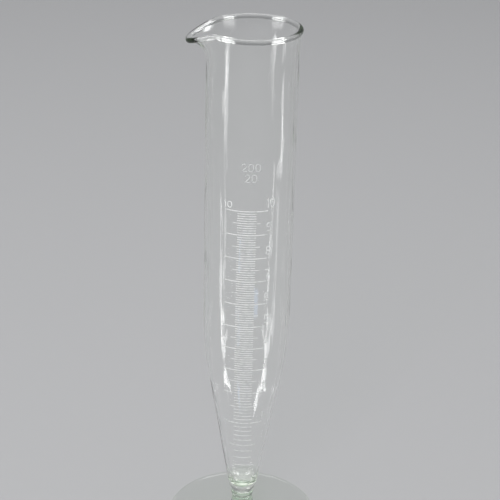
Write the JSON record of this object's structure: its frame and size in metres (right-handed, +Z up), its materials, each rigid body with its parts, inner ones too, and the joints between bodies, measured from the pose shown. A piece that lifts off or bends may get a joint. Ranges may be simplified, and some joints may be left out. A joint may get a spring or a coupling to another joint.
{
  "type": "rain gauge measuring glass",
  "caption": "Tall conical measuring glass of a rain gauge: round foot, short stem with a knop, graduated cone and tube, beaded rim with a pouring lip.",
  "frame": {"origin": "centre of the foot's flat underside, on the table", "axes": "+Z up along the axis of the glass, -Y is the side with the scale, and the pouring lip points to -X"},
  "size_m": [0.0844, 0.0844, 0.2925],
  "materials": {
    "clear_glass": "fire-polished, clear with a slight green tint",
    "green_glass": "fire-polished, solid, greener where it is thick",
    "white_enamel": "white enamel fired on, matt",
    "faint_enamel": "thin worn enamel, matt"
  },
  "bodies": {
    "root": {"foot": "clear_glass", "stem": "green_glass", "knop": "green_glass", "vessel": "clear_glass", "pouring_rim": "clear_glass", "long_lines": "white_enamel", "half_lines": "white_enamel", "tenth_lines": "white_enamel", "numerals": "white_enamel", "left_numeral": "white_enamel", "capacity_mark": "faint_enamel"}
  },
  "joints": []
}
